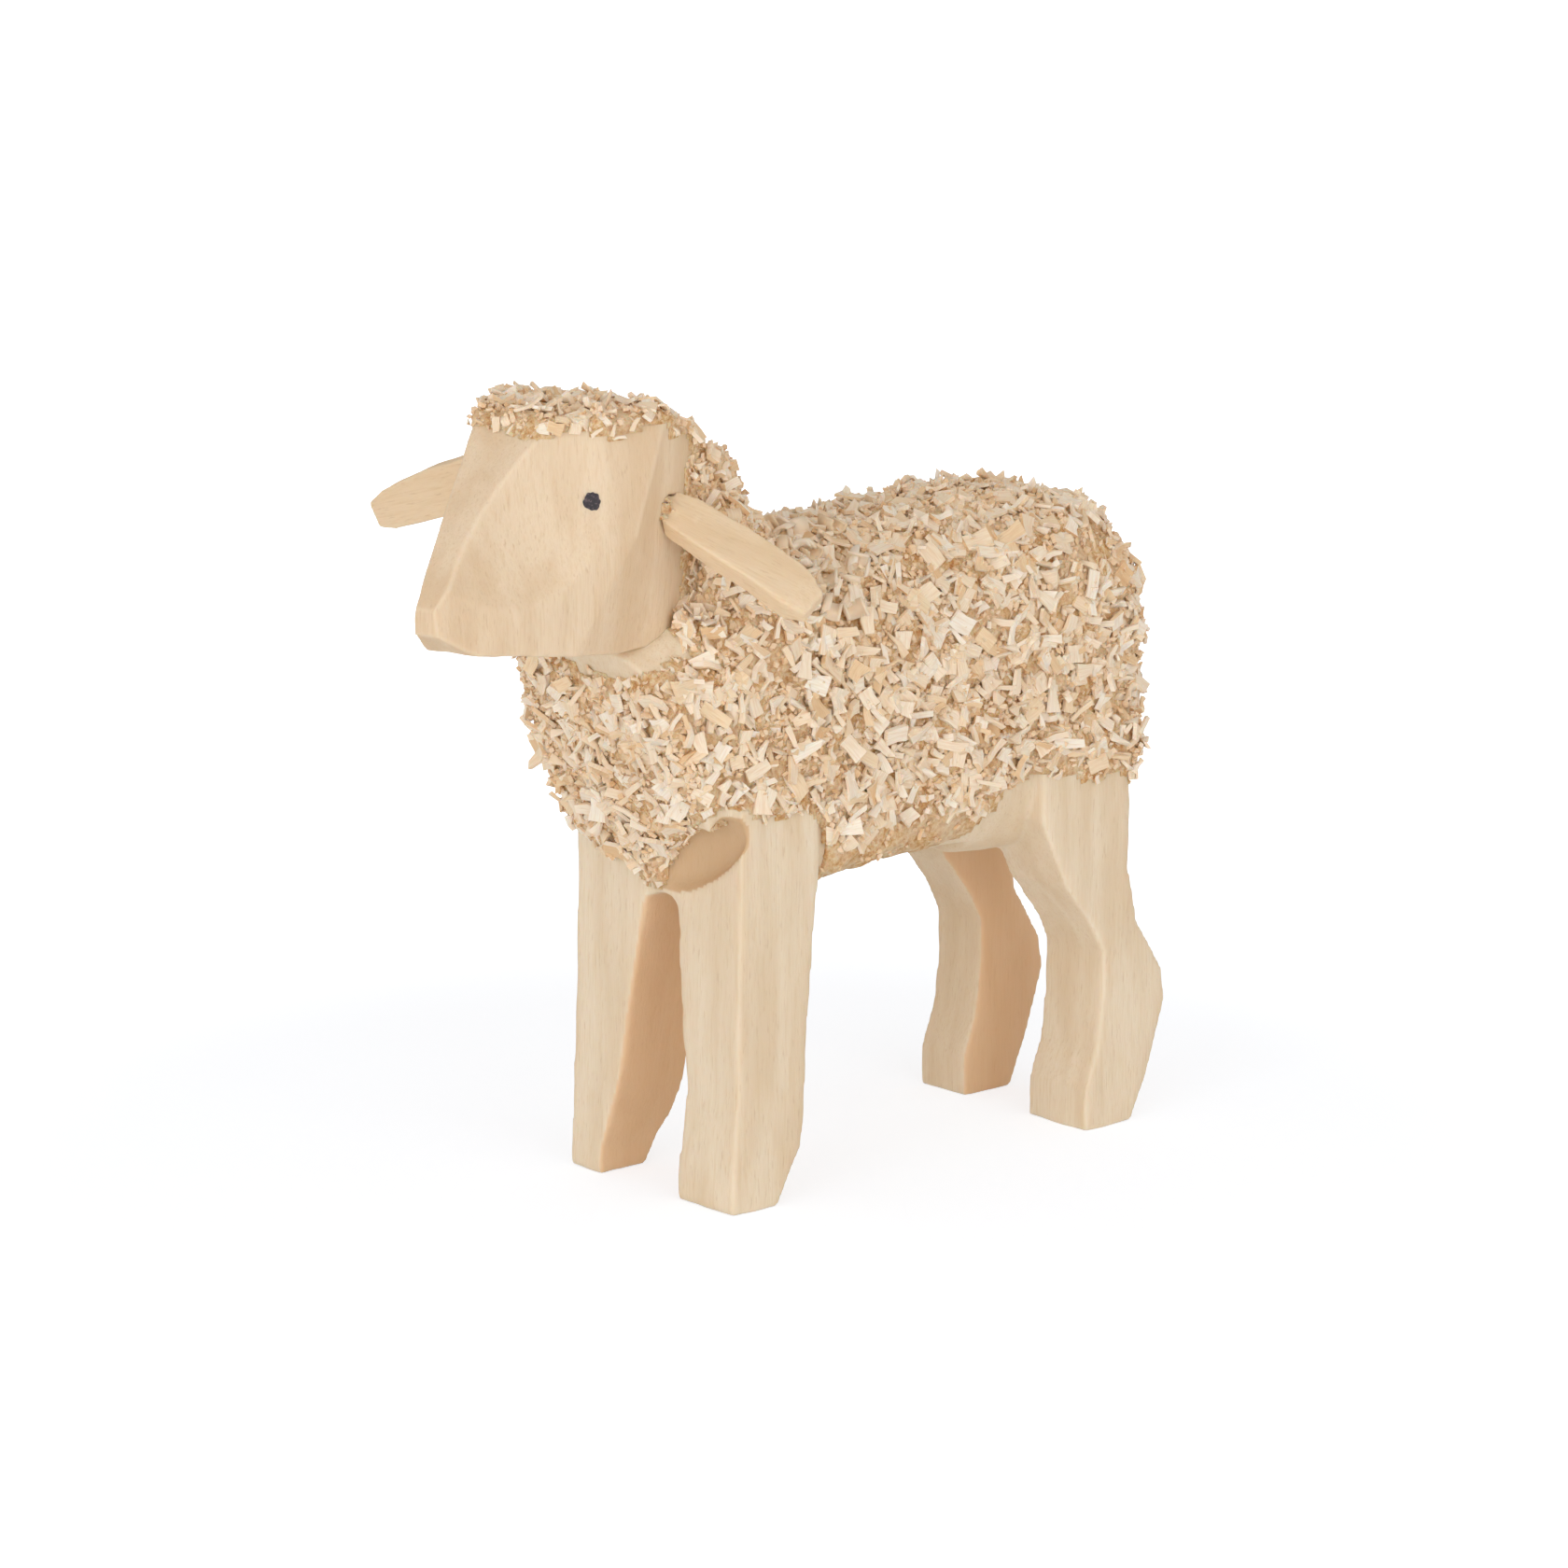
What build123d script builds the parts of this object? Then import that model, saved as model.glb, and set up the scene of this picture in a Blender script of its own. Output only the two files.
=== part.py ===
from build123d import *
import math
import os
from random import Random

# A small standing lamb, whittled from pale wood, with a fleece of glued-on sawdust and wood chips.
# Millimetres. +X is the way the body faces, +Y the lamb's left, +Z up, the feet stand on Z = 0.

os.makedirs("parts", exist_ok=True)

# Where the lamb stands: the middle of its four feet, seen from the middle of the whole box
stance_x = -5.3
stance_y = 0.7

# Board that the body and its legs are cut from
board_width = 15.6
overrun = 4.0

# Front legs, as one outline across the board, then slotted
front_leg_x = 7.3
front_leg_depth = 7.1
front_leg_height = 25.0
front_leg_shares = (
    (0.465, 0.0), (1.0, 0.0), (0.93, 0.28), (0.89, 0.80), (0.89, 1.0),
    (0.0, 1.0), (0.0, 0.82), (0.11, 0.52), (0.17, 0.24), (0.20, 0.14),
)

# Slot between the front legs: a leaning inverted V
front_slot_height = 18.7
front_slot_width = 7.2
front_slot_y = -4.7
front_slot_shares = (
    (0.0, 0.0), (1.0, 0.0), (1.05, 0.35), (1.0, 0.60), (0.90, 0.98),
    (0.72, 1.0), (0.51, 0.98), (0.31, 0.60), (0.18, 0.31), (0.0, 0.08),
)

# Hind legs, hock and thigh, as one outline across the board, then slotted
hind_leg_x = -21.9
hind_leg_reach = 10.9
hind_leg_height = 26.0
hind_leg_shares = (
    (0.25, 0.0), (0.63, 0.0), (0.63, 0.10), (0.54, 0.20), (0.50, 0.34), (0.50, 0.44), (0.59, 0.51),
    (0.80, 0.62), (0.99, 0.79), (1.0, 1.0),
    (0.30, 1.0), (0.30, 0.64), (0.23, 0.50), (0.02, 0.37), (0.0, 0.29), (0.12, 0.13),
)
hind_slot_height = 19.6
hind_slot_width = 5.9
hind_slot_y = -0.55

# Torso: rounded sections along the board, a little narrower than it
torso_length = 36.8
torso_height = 21.6
torso_inset = 0.8
torso_width = board_width - 2 * torso_inset
torso_middle = 29.0
torso_rear_x = -20.4
torso_round = 5.4
# Shares of the length, height above the middle by height, height, width, rounding; then the lean in degrees
torso_station_shares = (
    (0.0, 0.06, 0.62, 0.80, 0.70, 0.0),
    (0.075, 0.01, 0.90, 0.96, 0.90, 0.0),
    (0.34, 0.0, 1.0, 1.0, 1.0, 0.0),
    (0.61, -0.02, 0.97, 1.0, 1.0, 4.0),
    (1.0, -0.09, 0.76, 0.93, 0.70, 23.0),
)

# Head block, in its own frame: back from the nose, out from its middle, up from the jaw
head_length = 24.5
head_half_width = 5.9
head_height = 14.0
jaw_z = 35.0
nose_x = 34.05
nose_y = 4.0
head_turn = 15.0
head_back_share = 0.68
head_facet_shares = (
    ((0.004, 0.0, 0.309), (0.004, 1.0, 0.309), (0.363, 0.0, 0.971)),
    ((0.003, 0.0, 0.185), (0.003, 1.0, 0.185), (0.090, 0.0, 0.093)),
    ((0.090, 0.0, 0.093), (0.090, 1.0, 0.093), (0.510, 0.0, 0.0)),
    ((0.628, 0.0, 1.0), (0.628, 1.0, 1.0), (1.0, 0.0, head_back_share)),
)
# The two cheeks, cut by eye, and facets of one side that are mirrored for the other: jaw, temple and throat
left_cheek_shares = ((0.340, 0.47, 0.907), (0.041, 0.13, 0.371), (0.518, 0.93, 0.529))
right_cheek_shares = ((0.340, -0.54, 0.907), (0.041, -0.21, 0.371), (0.518, -0.95, 0.529))
side_facet_shares = (
    ((0.008, 0.19, 0.185), (0.355, 0.71, 0.029), (0.518, 0.94, 0.463)),
    ((0.616, 0.98, 0.910), (0.518, 0.95, 0.463), (0.767, 0.86, 0.600)),
    ((0.355, 0.71, 0.029), (0.604, 0.763, 0.043), (0.527, 0.955, 0.515)),
)
head_middle_shares = (0.6, 0.0, 0.5)
# Hollow that the knife left in the left cheek, beside the forehead
hollow_radius = 19.0
hollow_depth = 1.3
hollow_shares = (0.22, 0.31, 0.757)

# Nape: the raised part of the shoulders that the head is let into, ending a step below the back of the head
nape_x = 1.0
nape_length = 12.0
nape_width = 10.6
nape_round = 3.0
nape_middle = 34.0
nape_step = 0.5
nape_height = jaw_z + head_back_share * head_height - nape_step - nape_middle
# Shares of the length, rise by height, height, width
nape_station_shares = ((0.0, 0.0, 1.0, 1.0), (0.5, 0.10, 1.1, 1.0), (1.0, 0.35, 1.3, 0.95))

# Dowel between head and body
dowel_radius = 1.75
dowel_depth = 6.0
dowel_back_share = 0.84

# Ears: a whittled stick each, its blade turned about its own length
ear_length = 10.6
ear_width = 3.1
ear_thickness = 1.8
ear_tenon_radius = 0.8
ear_tenon_length = 1.8
ear_root_out_share = 0.90
# Shares along the ear, of its width and of its thickness
ear_station_shares = (
    (0.0, 0.72, 0.45), (0.16, 0.95, 0.85), (0.55, 1.0, 1.0), (0.88, 0.78, 0.80), (1.0, 0.50, 0.42),
)
# How each ear hangs, in degrees: its droop, its sweep back and the roll of its blade
left_ear_droop_angle = 27.5
left_ear_sweep_angle = 9.0
left_ear_roll_angle = 38.0
right_ear_droop_angle = 21.0
right_ear_sweep_angle = -2.0
right_ear_roll_angle = 98.0
# Shares back and up to each ear's root
left_ear_root_shares = (0.688, 0.576)
right_ear_root_shares = (0.633, 0.710)
glue_bead_radius = 0.85

# Eyes: dots of paint
eye_radius = 0.53
paint_thickness = 0.05
eye_back_share = 0.43
eye_out_share = 0.75
eye_up_share = 0.674

# Tail, out of sight behind the rump
tail_length = 8.5
tail_width = 3.2
tail_depth = 2.4
tail_top_z = 34.0
tail_lean = 14.0
tail_tenon_radius = 0.9
tail_tenon_length = 3.0
tail_station_shares = ((0.0, 0.80), (0.45, 1.0), (1.0, 0.55))

# Fleece: a bed of sawdust and glue, trimmed along a hem, with chips on it
sawdust_thickness = 1.0
crown_line = 12.9
crown_back_share = 0.77
hem_front_z = 24.0
hem_belly_z = 20.6
hem_rear_z = 23.2
hem_front_x = 5.8
hem_rear_x = -3.5
hem_slope = 7.0
tongue_width = 4.6
tongue_z = 19.6
tongue_x = 12.0

# Chips, flat flakes of five corners, slivers and small crumbs between them, strewn on the bed
chip_tries = 6
chip_gap = 0.1
chip_length = 2.3
chip_width = 1.6
chip_thickness = 0.42
chip_clearance = 0.12
chip_margin = 1.0
chip_shares = ((-0.50, -0.35), (0.10, -0.50), (0.50, -0.20), (0.42, 0.40), (-0.20, 0.50))
chip_size_shares = (0.75, 1.0)
sliver_length = 2.5
sliver_width = 0.6
sliver_share = 0.22
crumb_length = 1.15
crumb_width = 0.75
crumb_regions = ("crown", "back", "loin")
# The furthest that a chip and a crumb reach from their middles
chip_corners = [(across * chip_length, up * chip_width) for across, up in chip_shares]
sliver_reach = math.hypot(sliver_length / 2, sliver_width / 2)
chip_reach = max(sliver_reach, *(math.hypot(*corner) for corner in chip_corners))
crumb_reach = math.hypot(crumb_length / 2, crumb_width / 2)
reaches = {"chip": chip_reach, "crumb": crumb_reach}
chest_facing = 0.6
rump_facing = 0.7
back_facing = 0.45
loin_x = -8.0
curl_radius = 0.95
curl_wall = 0.3
curl_width = 1.2
curl_turn = 200.0
curl_foot_angle = 270.0
curl_count = 5
shoulder_x = 4.0
bark_size = 0.9
bark_x = 8.0


# Frames of the whole lamb: one that looks along its side and one for each place across it
stance = Location((stance_x, stance_y, 0))
side_plane = Plane(stance * Plane.XZ.location)


def cross_plane(x, z, lean):
    # A section across the body, its own +X to the lamb's left, leaning forward at the top
    lean_angle = math.radians(lean)
    forward = Vector(math.cos(lean_angle), 0, -math.sin(lean_angle))
    return Plane(origin=(stance_x + x, stance_y, z), x_dir=(0, 1, 0), z_dir=forward)


head_frame = Plane(
    origin=(stance_x + nose_x, stance_y + nose_y, jaw_z),
    x_dir=Vector(-1, 0, 0).rotate(Axis.Z, head_turn),
    z_dir=(0, 0, 1),
)


def head_point(shares):
    back, out, up = shares
    return head_frame.from_local_coords(Vector(back * head_length, -out * head_half_width, up * head_height))


head_middle = head_point(head_middle_shares)


def facet_plane(corners):
    # The plane through three points of the head, looking out of it
    first, second, third = (head_point(corner) for corner in corners)
    plane = Plane(origin=first, x_dir=second - first, z_dir=(second - first).cross(third - first))
    if plane.to_local_coords(head_middle).Z > 0:
        plane = Plane(origin=first, x_dir=second - first, z_dir=-plane.z_dir)
    return plane


def mirrored(corners):
    return tuple((back, -out, up) for back, out, up in corners)


cheek_planes = {"left": facet_plane(left_cheek_shares), "right": facet_plane(right_cheek_shares)}
head_planes = [facet_plane(corners) for corners in head_facet_shares]
head_planes += cheek_planes.values()
head_planes += [facet_plane(corners) for corners in side_facet_shares]
head_planes += [facet_plane(mirrored(corners)) for corners in side_facet_shares]


def head_shape(grow):
    # The block cut by its facets, all of them moved out by the same amount
    with BuildPart() as shape:
        with BuildSketch(head_frame.offset(-grow)):
            with Locations((head_length / 2, 0)):
                Rectangle(head_length + 2 * grow, 2 * (head_half_width + grow))
        extrude(amount=head_height + 2 * grow)
        for plane in head_planes:
            split(bisect_by=plane.offset(grow), keep=Keep.BOTTOM)
    return shape.part


def torso_shape(grow):
    with BuildPart() as shape:
        last = len(torso_station_shares) - 1
        for index, station in enumerate(torso_station_shares):
            along, rise, tall, wide, rounding, lean = station
            plane = cross_plane(
                torso_rear_x + along * torso_length, torso_middle + rise * torso_height, lean
            )
            end = {0: -grow, last: grow}.get(index, 0)
            with BuildSketch(plane.offset(end)):
                RectangleRounded(
                    wide * torso_width + 2 * grow,
                    tall * torso_height + 2 * grow,
                    rounding * torso_round + grow,
                )
        loft()
    return shape.part


def nape_shape(grow):
    with BuildPart() as shape:
        for along, rise, tall, wide in nape_station_shares:
            with BuildSketch(cross_plane(nape_x + along * nape_length, nape_middle + rise * nape_height, 0)):
                RectangleRounded(
                    wide * nape_width + 2 * grow, tall * nape_height + 2 * grow, nape_round + grow
                )
        loft()
    return shape.part


def outline(shares, start, size, height):
    return [(start + across * size, up * height) for across, up in shares]


hollow_middle = head_point(hollow_shares) + cheek_planes["left"].z_dir * (hollow_radius - hollow_depth)
with BuildPart() as whittled_block:
    add(head_shape(0))
    with Locations(hollow_middle):
        Sphere(hollow_radius, mode=Mode.SUBTRACT)
block = whittled_block.part
torso = torso_shape(0)
nape = nape_shape(0)

dowel_place = head_point((dowel_back_share, 0.0, 0.0))
dowel_plane = Plane(origin=dowel_place - Vector(0, 0, dowel_depth))

tail_angle = math.radians(tail_lean)
tail_root = Vector(stance_x + torso_rear_x, stance_y, tail_top_z)
tail_plane = Plane(
    origin=tail_root - Vector(sawdust_thickness / 2, 0, 0),
    x_dir=(0, 1, 0),
    z_dir=(-math.sin(tail_angle), 0, -math.cos(tail_angle)),
)
tail_tenon_plane = Plane(origin=tail_root + Vector(tail_tenon_length, 0, -tail_width), z_dir=(-1, 0, 0))

# Body: torso, shoulders and four legs in one piece, notched for the head
with BuildPart() as body:
    with BuildSketch(side_plane) as front_leg:
        with BuildLine():
            Polyline(*outline(front_leg_shares, front_leg_x, front_leg_depth, front_leg_height), close=True)
        make_face()
    extrude(amount=board_width / 2, both=True)
    with BuildSketch(side_plane) as hind_leg:
        with BuildLine():
            Polyline(*outline(hind_leg_shares, hind_leg_x, hind_leg_reach, hind_leg_height), close=True)
        make_face()
    extrude(amount=board_width / 2, both=True)
    with BuildSketch(cross_plane(front_leg_x + front_leg_depth / 2, 0, 0)):
        with BuildLine():
            Polyline(
                *outline(front_slot_shares, front_slot_y, front_slot_width, front_slot_height), close=True
            )
        make_face()
    extrude(amount=front_leg_depth, both=True, mode=Mode.SUBTRACT)
    with BuildSketch(cross_plane(hind_leg_x + hind_leg_reach / 2, hind_slot_height / 2, 0)):
        with Locations((hind_slot_y, 0)):
            Rectangle(hind_slot_width, hind_slot_height)
    extrude(amount=hind_leg_reach, both=True, mode=Mode.SUBTRACT)
    add(torso)
    add(nape)
    add(block, mode=Mode.SUBTRACT)
    with BuildSketch(dowel_plane):
        Circle(dowel_radius)
    extrude(amount=2 * dowel_depth, mode=Mode.SUBTRACT)
    with BuildSketch(tail_tenon_plane):
        Circle(tail_tenon_radius)
    extrude(amount=tail_tenon_length + overrun, mode=Mode.SUBTRACT)
body.part.label = "body"
export_step(body.part, "parts/body.step")

# Head: the block cut by its facets, with sockets for the dowel and the ears
ear_angles = {
    "left": (left_ear_droop_angle, left_ear_sweep_angle, left_ear_roll_angle),
    "right": (right_ear_droop_angle, right_ear_sweep_angle, right_ear_roll_angle),
}
ear_roots = {"left": left_ear_root_shares, "right": right_ear_root_shares}
ear_planes = {}
ear_blades = {}
for name, side in (("left", 1), ("right", -1)):
    droop, sweep, roll = ear_angles[name]
    droop_angle, sweep_angle = math.radians(droop), math.radians(sweep)
    reach = math.cos(droop_angle)
    along = head_frame.from_local_coords(
        Vector(math.sin(sweep_angle) * reach, -side * math.cos(sweep_angle) * reach, -math.sin(droop_angle))
    ) - head_frame.origin
    back, up = ear_roots[name]
    root = head_point((back, side * ear_root_out_share, up)) - along * ear_thickness / 2
    level = Plane(origin=root, x_dir=along.cross(Vector(0, 0, 1)), z_dir=along)
    ear_planes[name] = Plane(level.location * Rotation(0, 0, side * roll))

for name, plane in ear_planes.items():
    with BuildPart() as blade:
        for along, wide, thick in ear_station_shares:
            with BuildSketch(plane.offset(along * (ear_length + ear_thickness / 2))):
                Rectangle(wide * ear_width, thick * ear_thickness)
        loft(ruled=True)
        add(block, mode=Mode.SUBTRACT)
        with BuildSketch(plane.offset(-ear_tenon_length / 2)):
            Circle(ear_tenon_radius)
        extrude(amount=ear_tenon_length + ear_thickness)
    ear_blades[name] = blade.part
    blade.part.label = "ear_" + name
    export_step(blade.part, "parts/ear_" + name + ".step")

with BuildPart() as head:
    add(block)
    with BuildSketch(dowel_plane):
        Circle(dowel_radius)
    extrude(amount=2 * dowel_depth, mode=Mode.SUBTRACT)
    for blade in ear_blades.values():
        add(blade, mode=Mode.SUBTRACT)
head.part.label = "head"
export_step(head.part, "parts/head.step")

with BuildPart() as neck_dowel:
    with BuildSketch(dowel_plane):
        Circle(dowel_radius)
    extrude(amount=2 * dowel_depth)
neck_dowel.part.label = "neck_dowel"
export_step(neck_dowel.part, "parts/neck_dowel.step")

# Eyes: one dot of paint on each cheek, the left one in the hollow
for name, plane in cheek_planes.items():
    side = 1 if name == "left" else -1
    spot = plane.to_local_coords(head_point((eye_back_share, side * eye_out_share, eye_up_share)))
    with BuildPart() as eye:
        with BuildSketch(plane.offset(paint_thickness)):
            with Locations((spot.X, spot.Y)):
                Circle(eye_radius)
        extrude(amount=-hollow_depth)
        if name == "left":
            with Locations(hollow_middle):
                Sphere(hollow_radius - paint_thickness, mode=Mode.SUBTRACT)
        add(block, mode=Mode.SUBTRACT)
    eye.part.label = "eye_" + name
    export_step(eye.part, "parts/eye_" + name + ".step")

# Glue that squeezed out on top of the right ear's root
with BuildPart() as ear_glue_bead:
    with Locations(Location(ear_planes["right"].from_local_coords((-ear_width / 2, 0, ear_thickness)))):
        Sphere(glue_bead_radius)
    add(block, mode=Mode.SUBTRACT)
    add(ear_blades["right"], mode=Mode.SUBTRACT)
ear_glue_bead.part.label = "ear_glue_bead"
export_step(ear_glue_bead.part, "parts/ear_glue_bead.step")

# Tail: a small whittled peg on the rump
with BuildPart() as tail:
    for along, wide in tail_station_shares:
        with BuildSketch(tail_plane.offset(along * tail_length)):
            Rectangle(wide * tail_width, wide * tail_depth)
    loft(ruled=True)
    with BuildSketch(tail_tenon_plane):
        Circle(tail_tenon_radius)
    extrude(amount=tail_tenon_length + sawdust_thickness)
    add(body.part, mode=Mode.SUBTRACT)
tail.part.label = "tail"
export_step(tail.part, "parts/tail.step")

# Everything of wood below the fleece's hem, as one outline across the board
hem_points = [
    (torso_rear_x - overrun, hem_rear_z),
    (hem_rear_x - hem_slope, hem_rear_z),
    (hem_rear_x, hem_belly_z),
    (hem_front_x, hem_belly_z),
    (hem_front_x, hem_front_z),
    (front_leg_x + 2 * front_leg_depth, hem_front_z),
    (front_leg_x + 2 * front_leg_depth, -overrun),
    (torso_rear_x - overrun, -overrun),
]
with BuildPart() as below_hem:
    with BuildSketch(side_plane):
        with BuildLine():
            Polyline(*hem_points, close=True)
        make_face()
    extrude(amount=board_width, both=True)
    with BuildSketch(Plane.XY.offset(tongue_z)):
        with Locations((stance_x + tongue_x + overrun, stance_y)):
            Rectangle(2 * overrun, tongue_width)
    extrude(amount=torso_height, mode=Mode.SUBTRACT)

bed = torso_shape(sawdust_thickness)
nape_bed = nape_shape(sawdust_thickness)
head_bed = head_shape(sawdust_thickness)

with BuildPart() as body_sawdust_coat:
    add(bed)
    add(nape_bed)
    for piece in (body.part, head.part, neck_dowel.part, tail.part, below_hem.part, *ear_blades.values()):
        add(piece, mode=Mode.SUBTRACT)
body_sawdust_coat.part.label = "body_sawdust_coat"
export_step(body_sawdust_coat.part, "parts/body_sawdust_coat.step")

# The face stays bare: the head's coat covers the crown and what lies behind the temples
with BuildPart() as head_sawdust_coat:
    add(head_bed)
    with BuildSketch(head_frame.offset(-overrun)):
        with Locations((crown_back_share * head_length / 2 - overrun / 2, 0)):
            Rectangle(crown_back_share * head_length + overrun, 4 * head_half_width)
    extrude(amount=crown_line + overrun, mode=Mode.SUBTRACT)
    for piece in (body.part, head.part, neck_dowel.part, ear_glue_bead.part, body_sawdust_coat.part):
        add(piece, mode=Mode.SUBTRACT)
    for blade in ear_blades.values():
        add(blade, mode=Mode.SUBTRACT)
head_sawdust_coat.part.label = "head_sawdust_coat"
export_step(head_sawdust_coat.part, "parts/head_sawdust_coat.step")


def above_hem(point, reach):
    # Whether the fleece reaches down to here
    x = point.X - stance_x
    line = hem_front_z if x > hem_front_x else hem_belly_z if x > hem_rear_x else hem_rear_z
    return point.Z > line + chip_margin + reach


def in_crown(point, reach):
    # Whether this place on the head is clear of the bare face
    local = head_frame.to_local_coords(point)
    return local.Z > crown_line + reach or local.X > crown_back_share * head_length + reach


def in_nape(point, reach):
    return True


def in_reach(box, point, reach):
    # Whether a chip here could touch the box round a part
    return all(low - reach < value < high + reach for low, value, high in zip(box.min, point, box.max))


def lies_clear(point, others, reach):
    # Whether nothing else comes into a chip's reach here
    middle = Vertex(*point)
    near = [other for other, box in others if in_reach(box, point, reach)]
    return all(other.distance_to(middle) > reach and not other.is_inside(point) for other in near)


def holds(face, place, reach):
    # Whether the face is under the whole of a chip here, but for a little overhang
    half = reach / 2
    rim = [place.from_local_coords(Vector(*spot)) for spot in ((half, 0), (-half, 0), (0, half), (0, -half))]
    return face.geom_type != GeomType.PLANE or all(face.distance_to(Vertex(*spot)) < chip_gap for spot in rim)


def region_of(place):
    # The part of the fleece that a chip belongs to, by the way it faces
    if place.z_dir.X > chest_facing:
        return "chest"
    if place.z_dir.X < -rump_facing:
        return "rump"
    if place.z_dir.Z > back_facing:
        return "loin" if place.origin.X - stance_x < loin_x else "back"
    return "left_flank" if place.z_dir.Y > 0 else "right_flank"


spots = {}
taken = []
pieces = {"crown": head_bed, "nape": nape_bed, "torso": bed, "tail": tail.part, **ear_blades}
boxes = {name: piece.bounding_box() for name, piece in pieces.items()}


def strew(kind, bed_name, wanted):
    # Try places by chance on each face of a bed and keep those that are free
    reach = reaches[kind]
    others = [(piece, boxes[name]) for name, piece in pieces.items() if name != bed_name]
    for index, face in enumerate(pieces[bed_name].faces()):
        dice = Random(index)
        for _ in range(round(chip_tries * face.area / (2 * reach + chip_gap) ** 2)):
            along, across, turn = dice.random(), dice.random(), dice.uniform(0, 180)
            point = face.position_at(along, across)
            if not wanted(point, reach):
                continue
            if any(math.dist(point, other) < reach + other_reach + chip_gap for other, other_reach in taken):
                continue
            flat = Plane(origin=point, z_dir=face.normal_at(along, across))
            place = Plane(flat.location * Rotation(0, 0, turn))
            region = region_of(place) if bed_name == "torso" else bed_name
            if kind == "crumb" and region not in crumb_regions:
                continue
            if holds(face, place, reach) and lies_clear(point, others, reach):
                spots.setdefault((region, kind), []).append(place)
                taken.append((tuple(point), reach))


for bed_name, wanted in (("crown", in_crown), ("nape", in_nape), ("torso", above_hem)):
    for kind in reaches:
        strew(kind, bed_name, wanted)


def take_nearest(regions, target, count):
    # Take the chips' places nearest to a point out of some regions, for the fleece's odd pieces
    places = [place for region in regions for place in spots[region, "chip"]]
    near = sorted(places, key=lambda place: (place.origin - target).length)
    for region in regions:
        spots[region, "chip"] = [place for place in spots[region, "chip"] if place not in near[:count]]
    return near[:count]


# One fleck of bark in the nape, and curled shavings on the shoulder behind the left ear
neck_side = Vector(stance_x + bark_x, stance_y + nape_width / 2, nape_middle + nape_height)
bark_place = take_nearest(["nape"], neck_side, 1)[0]
with BuildPart() as bark_speck:
    with BuildSketch(bark_place.offset(chip_clearance)):
        RegularPolygon(bark_size / 2, 5)
    extrude(amount=chip_thickness)
bark_speck.part.label = "bark_speck"
export_step(bark_speck.part, "parts/bark_speck.step")

shoulder = Vector(stance_x + shoulder_x, stance_y + torso_width / 2, torso_middle + torso_height / 2)
curl_height = chip_clearance + curl_radius
curl_start = curl_foot_angle - curl_turn / 2
with BuildPart() as curled_shavings:
    for place in take_nearest(["back", "left_flank"], shoulder, curl_count):
        upright = Plane(place.location * Rotation(90, 0, 0))
        with BuildSketch(upright.offset(-curl_width / 2)):
            with BuildLine():
                outer = CenterArc((0, curl_height), curl_radius, curl_start, curl_turn)
                inner = CenterArc((0, curl_height), curl_radius - curl_wall, curl_start, curl_turn)
                Line(outer @ 0, inner @ 0)
                Line(outer @ 1, inner @ 1)
            make_face()
    extrude(amount=curl_width)
curled_shavings.part.label = "curled_shavings"
export_step(curled_shavings.part, "parts/curled_shavings.step")

for region in dict.fromkeys(region for region, kind in spots):
    dice = Random(len(region))
    with BuildPart() as chips:
        for place in spots.get((region, "chip"), []):
            size = dice.uniform(*chip_size_shares)
            with BuildSketch(place.offset(chip_clearance)):
                if dice.random() < sliver_share:
                    Rectangle(size * sliver_length, size * sliver_width)
                else:
                    with BuildLine():
                        Polyline(*[(size * across, size * up) for across, up in chip_corners], close=True)
                    make_face()
        for place in spots.get((region, "crumb"), []):
            with BuildSketch(place.offset(chip_clearance)):
                Rectangle(crumb_length, crumb_width)
        extrude(amount=chip_thickness)
    chips.part.label = region + "_chips"
    export_step(chips.part, "parts/" + region + "_chips.step")
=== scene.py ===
import math
from random import Random

import bmesh
import bpy
from mathutils import Matrix, Vector, noise
from mathutils.bvhtree import BVHTree
from mathutils.kdtree import KDTree


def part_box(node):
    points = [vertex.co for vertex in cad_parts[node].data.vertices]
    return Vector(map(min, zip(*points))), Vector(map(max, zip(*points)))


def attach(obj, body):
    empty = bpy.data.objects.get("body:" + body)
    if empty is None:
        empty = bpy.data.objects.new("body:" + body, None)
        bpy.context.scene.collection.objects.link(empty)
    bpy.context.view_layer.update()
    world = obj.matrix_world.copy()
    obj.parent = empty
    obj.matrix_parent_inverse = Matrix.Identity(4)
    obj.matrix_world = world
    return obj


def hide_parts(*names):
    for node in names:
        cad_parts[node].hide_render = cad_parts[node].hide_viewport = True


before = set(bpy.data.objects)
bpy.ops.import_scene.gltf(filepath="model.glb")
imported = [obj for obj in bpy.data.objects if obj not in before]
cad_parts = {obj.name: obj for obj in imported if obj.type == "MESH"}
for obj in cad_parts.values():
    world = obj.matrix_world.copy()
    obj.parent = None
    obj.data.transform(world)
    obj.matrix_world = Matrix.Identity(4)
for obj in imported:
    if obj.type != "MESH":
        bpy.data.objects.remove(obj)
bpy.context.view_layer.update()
print("frame loaded:", len(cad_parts), "nodes")

mm = 0.001
bodyLow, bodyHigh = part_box("body")
hindReach = 21.9 * mm  # from the middle of the four feet to the rearmost hock
stance = Vector((bodyLow.x + hindReach, (bodyLow.y + bodyHigh.y) / 2, 0))


def at(x, y, z):  # a place measured in millimetres from between the feet
    return stance + Vector((x, y, z)) * mm


# Materials

def toLinear(hexColour):
    shares = [int(hexColour[i:i + 2], 16) / 255 for i in (1, 3, 5)]
    return [s / 12.92 if s <= 0.04045 else ((s + 0.055) / 1.055) ** 2.4 for s in shares] + [1.0]


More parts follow.
